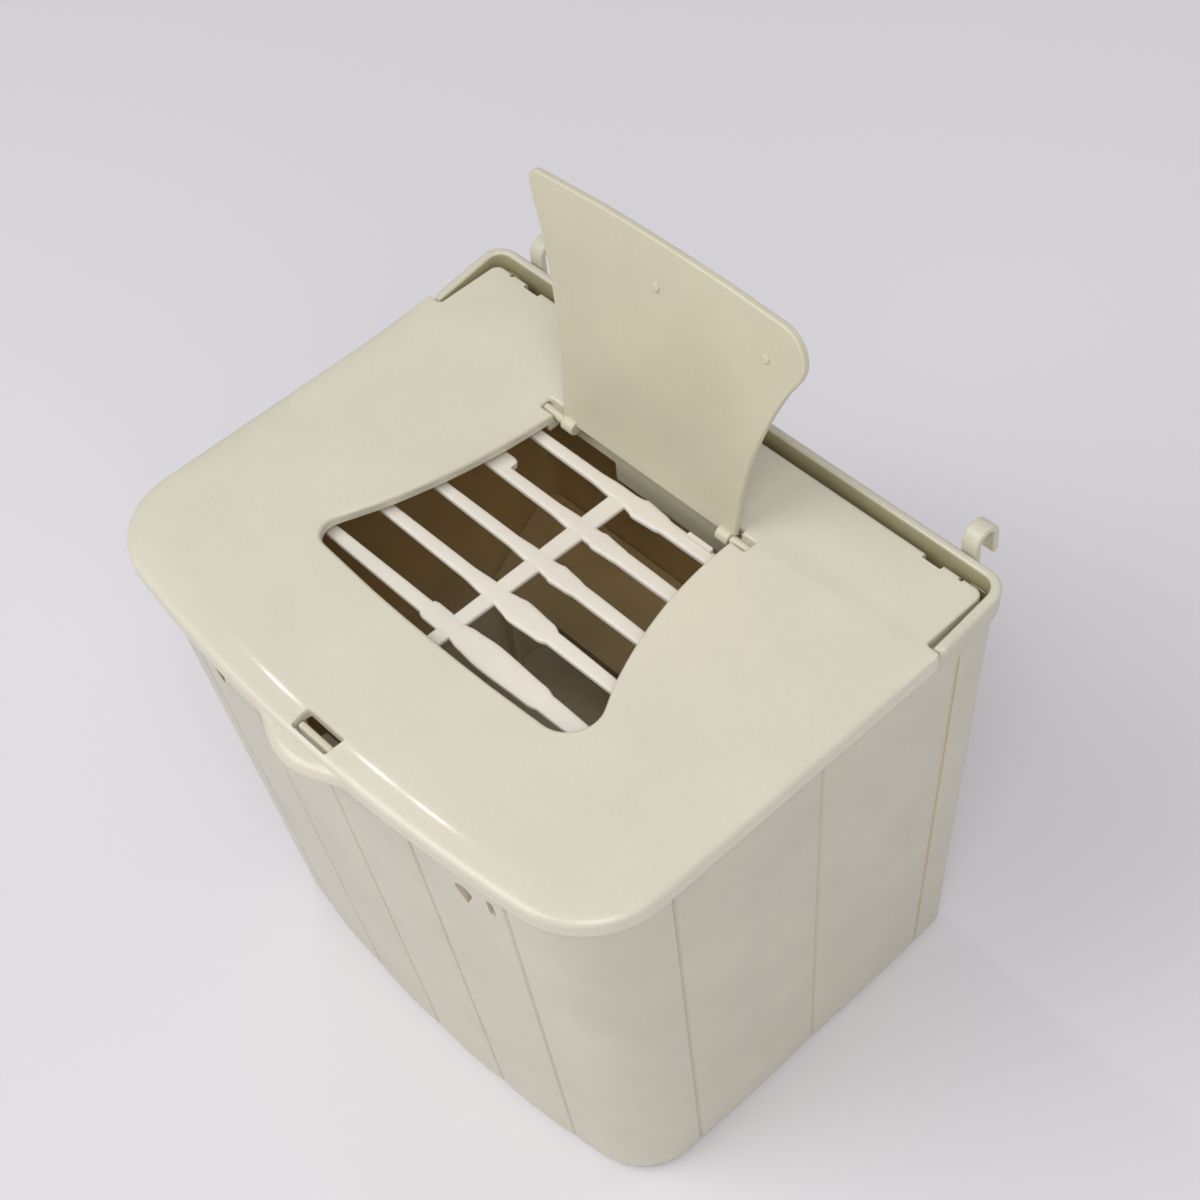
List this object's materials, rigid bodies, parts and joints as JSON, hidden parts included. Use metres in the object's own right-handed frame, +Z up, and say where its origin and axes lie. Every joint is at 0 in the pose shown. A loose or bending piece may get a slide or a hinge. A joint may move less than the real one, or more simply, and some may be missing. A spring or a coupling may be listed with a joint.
{
  "type": "rabbit hopper feeder",
  "caption": "Cage-hung plastic hopper box with a hinged lid, a fill flap standing open over a bar grid, a front snap catch and rear wire hooks.",
  "frame": {"origin": "centre of the flat base, on its underside", "axes": "+Z up, +Y towards the cage (rear), -Y the front with the snap catch, X along the cage wall"},
  "size_m": [0.17, 0.1493, 0.2107],
  "materials": {
    "body_plastic": "moulded cream plastic, semi-gloss",
    "lid_plastic": "moulded cream plastic, glossy",
    "flap_plastic": "moulded cream plastic, semi-gloss",
    "grid_plastic": "moulded off-white plastic",
    "inner_plastic": "moulded cream plastic, satin",
    "steel": "zinc-plated"
  },
  "bodies": {
    "body": {"hopper_body": "body_plastic", "feed_ramp": "inner_plastic", "feed_lip": "inner_plastic", "hook_left": "body_plastic", "hook_right": "body_plastic", "hook_left_screw_1": "steel", "hook_left_screw_2": "steel", "hook_right_screw_1": "steel", "hook_right_screw_2": "steel", "lid_pin_left": "steel", "lid_pin_right": "steel", "catch_screw": "steel"},
    "lid": {"main_lid": "lid_plastic", "lid_grid": "grid_plastic", "grid_screw_rear_left": "steel", "grid_screw_rear_right": "steel", "grid_screw_front_left": "steel", "grid_screw_front_right": "steel", "flap_pin_left": "flap_plastic", "flap_pin_right": "flap_plastic"},
    "flap": {"fill_flap": "flap_plastic"},
    "catch": {"front_catch": "inner_plastic"}
  },
  "joints": [
    {"name": "lid_hinge", "type": "hinge", "parent": "body", "child": "lid", "pos_m": [0, 0.0499, 0.1426], "axis": [-1, 0, 0], "range_deg": [0, 100]},
    {"name": "flap_hinge", "type": "hinge", "parent": "lid", "child": "flap", "pos_m": [0, 0.0294, 0.1456], "axis": [1, 0, 0], "range_deg": [0, 99]},
    {"name": "catch_flex", "type": "hinge", "parent": "body", "child": "catch", "pos_m": [0.002, -0.068, 0.114], "axis": [-1, 0, 0], "range_deg": [0, 3.5], "stiffness_Nm_per_rad": 0.3}
  ]
}
